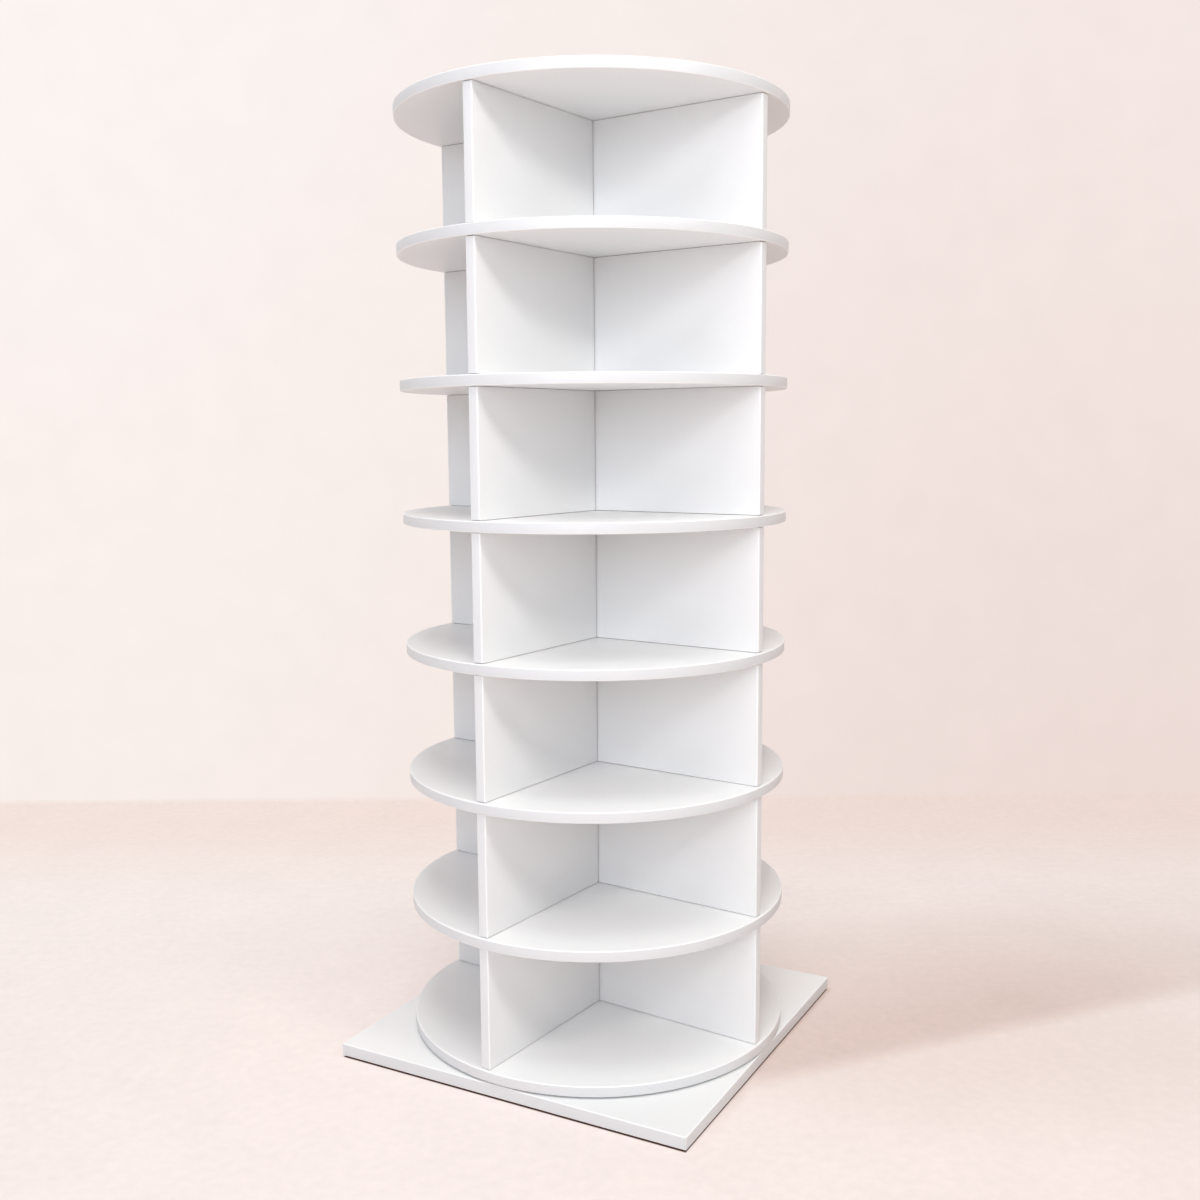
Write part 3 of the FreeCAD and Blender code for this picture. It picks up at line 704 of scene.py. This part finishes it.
def from_base(tree, place):
    """How far a point is from the base's middle, along whichever of its sides is further."""
    turned = put(tree, "Mapping", {"Vector": place, "Rotation": (0, 0, camera_side - base_turn)})
    either_way = put(tree, "VectorMath", {0: turned.outputs[0]}, operation="ABSOLUTE")
    along = put(tree, "SeparateXYZ", {0: either_way.outputs[0]}).outputs
    return calculated(tree, "MAXIMUM", along["X"], along["Y"])


def long_shade(tree, place):
    """The tower's long soft shadow, painted on the floor, which lies to the right and fades away
    from the lamps.
    """
    turned = put(tree, "Mapping", {"Vector": place, "Location": (-0.207, 0.211, 0),
                                   "Rotation": (0, 0, long_shade_turn)})
    along = put(tree, "SeparateXYZ", {0: turned.outputs[0]}).outputs
    front = ramp(tree, along["Y"], -0.1, -0.02, smooth=True)
    back = ramp(tree, along["Y"], 0.03, 0.47, 0.8, 0.0)
    start = ramp(tree, along["X"], -0.2, -0.05, smooth=True)
    end = ramp(tree, along["X"], 0.45, 1.2, 1.0, 0.0)
    return calculated(tree, "MULTIPLY", calculated(tree, "MULTIPLY", front, back),
                      calculated(tree, "MULTIPLY", start, end))


def shadow(tree, place, across, base_distance):
    """How deep the tower's painted shadow is: close to the base's right side, long, and wide."""
    beside = ramp(tree, base_distance, half_base, half_base + near_shade_reach, 1.0, 0.0)
    to_right = ramp(tree, across["X"], 0.08, 0.3, smooth=True)
    near = calculated(tree, "MULTIPLY", beside, to_right)
    wide = ramp(tree, how_far(tree, place, (-0.85, 0.33, 0), (1.7, 3.3, 1)), 0.2, 1.1,
                wide_shade_depth, 0.0, smooth=True)
    far = calculated(tree, "MAXIMUM", long_shade(tree, place), wide)
    return calculated(tree, "MAXIMUM", near, far)


def floor_colour(tree, place, across, side):
    """The floor from left to right, with the tower's painted shadow, its grain, and painted shade
    under the base.
    """
    base_distance = from_base(tree, place)
    shaded = mixed(tree, shadow(tree, place, across, base_distance), untinted, shade_tint)
    distant = mixed(tree, ramp(tree, across["Y"], 0.5, 1.1, smooth=True), untinted, far_tint)
    tint = put(tree, "VectorMath", {0: shaded, 1: distant}, operation="MULTIPLY")
    tinted = put(tree, "VectorMath", {0: mixed(tree, side, floor_left, floor_right),
                                      1: tint.outputs[0]}, operation="MULTIPLY")
    # Painted shade under the base's footprint.
    uncovered = ramp(tree, base_distance, half_base - 0.002, half_base - 0.0005)
    shown = mixed(tree, uncovered, painted_shade_under_base, tinted.outputs[0])
    grain = noise(tree, place, 60.0, 5.0, roughness=0.6)
    return scaled(tree, shown, ramp(tree, grain, 0.3, 0.7, 0.972, 1.025))


def wall_colour(tree, across, side):
    """The wall from left to right and from its foot to where it is lightest; its darker right
    side and foot are painted shade.
    """
    height = ramp(tree, across["Z"], 0.0, 1.8)
    return mixed(tree, side, mixed(tree, height, left_wall_low, left_wall_high),
                 mixed(tree, height, right_wall_low, right_wall_high))


def background_rays(tree):
    """1 for what is seen directly, in a reflection or through glass, and 0 for its light."""
    ray = put(tree, "LightPath").outputs
    direct = calculated(tree, "MAXIMUM", ray["Is Camera Ray"], ray["Is Glossy Ray"])
    return calculated(tree, "MAXIMUM", direct, ray["Is Transmission Ray"])


sheet, sheet_tree, sheet_shader = new_material("pale_paper", Roughness=0.9,
                                               Specular_IOR_Level=0.2)
place = object_place(sheet_tree)
across = put(sheet_tree, "SeparateXYZ", {0: place}).outputs
side = ramp(sheet_tree, across["X"], -1.3, 1.3, smooth=True)
wall = ramp(sheet_tree, across["Z"], 0.003, 0.018, smooth=True)
tone = mixed(sheet_tree, wall, floor_colour(sheet_tree, place, across, side),
             wall_colour(sheet_tree, across, side))
mottled = scaled(sheet_tree, tone, ramp(sheet_tree, noise(sheet_tree, place, 9.0, 4.0),
                                        0.3, 0.7, 0.985, 1.01))
sheet_tree.links.new(mottled, sheet_shader.inputs["Base Color"])

# Seen directly, the wall and the far floor glow with their own colour, painted shade and all;
# near the tower the floor shows mostly what the lamps make of it, with the tower's cast shadow as
# well as its painted one.
away = how_far(sheet_tree, place, (-0.1, 0.45, 0), (1, 1.3, 1))
even = calculated(sheet_tree, "MAXIMUM", ramp(sheet_tree, away, 0.5, 1.4, first=0.25), wall)
glowing = calculated(sheet_tree, "MULTIPLY", background_rays(sheet_tree), even)
glow = put(sheet_tree, "Emission", {"Color": mottled})
front = put(sheet_tree, "MixShader", {0: glowing, 1: sheet_shader.outputs[0],
                                      2: glow.outputs[0]})
clear = put(sheet_tree, "BsdfTransparent")
facing = put(sheet_tree, "NewGeometry")
both = put(sheet_tree, "MixShader", {0: facing.outputs["Backfacing"], 1: front.outputs[0],
                                     2: clear.outputs[0]})
sheet_tree.links.new(both.outputs[0], sheet_tree.nodes["Material Output"].inputs["Surface"])
paper.data.materials.append(sheet)


# ---- lamps ----
# Soft boxes in front, high in front, to the right and overhead, a weak cool one far to the
# left, and faint even light from all round. None of them is seen.

lamp_aim = Vector((0, 0, 0.7))          # the middle of the tower


def soft_box(name, right, away, height, size, watts, colour):
    """A square lamp, placed as seen from the camera's side of the tower and aimed at it."""
    bpy.ops.object.select_all(action="DESELECT")
    bpy.ops.object.light_add(type="AREA")
    lamp = bpy.context.object
    lamp.name = name
    lamp.data.size = size
    lamp.data.energy = watts
    lamp.data.color = colour
    lamp.location = Matrix.Rotation(camera_side, 4, "Z") @ Vector((right, away, height))
    lamp.rotation_euler = (lamp_aim - lamp.location).to_track_quat("-Z", "Y").to_euler()
    lamp.visible_camera = False


soft_box("front_lamp", right=-0.7, away=-3.4, height=1.9, size=1.8, watts=59,
         colour=(0.885, 0.925, 1.0))
soft_box("high_front_lamp", right=0.0, away=-2.6, height=3.6, size=0.8, watts=21,
         colour=(1.0, 0.95, 0.96))
soft_box("right_lamp", right=1.6, away=-1.8, height=2.2, size=0.4, watts=18,
         colour=(1.0, 1.0, 0.96))
soft_box("top_lamp", right=0.0, away=-2.05, height=6.34, size=2.4, watts=136,
         colour=(1.0, 1.0, 0.955))
soft_box("left_lamp", right=-4.9, away=-1.3, height=3.9, size=2.4, watts=28,
         colour=(0.75, 0.87, 1.0))

world = bpy.data.worlds.new("room")
bpy.context.scene.world = world
world.use_nodes = True
room = world.node_tree
room_light = room.nodes["Background"]
room_light.inputs["Color"].default_value = (1.0, 1.0, 1.0, 1)
room_light.inputs["Strength"].default_value = 0.14
room_seen = put(room, "Background", {"Color": (0.93, 0.845, 0.81, 1)})
room_mix = put(room, "MixShader", {0: background_rays(room), 1: room_light.outputs[0],
                                   2: room_seen.outputs[0]})
room.links.new(room_mix.outputs[0], room.nodes["World Output"].inputs["Surface"])
bpy.context.scene.view_settings.view_transform = "Standard"
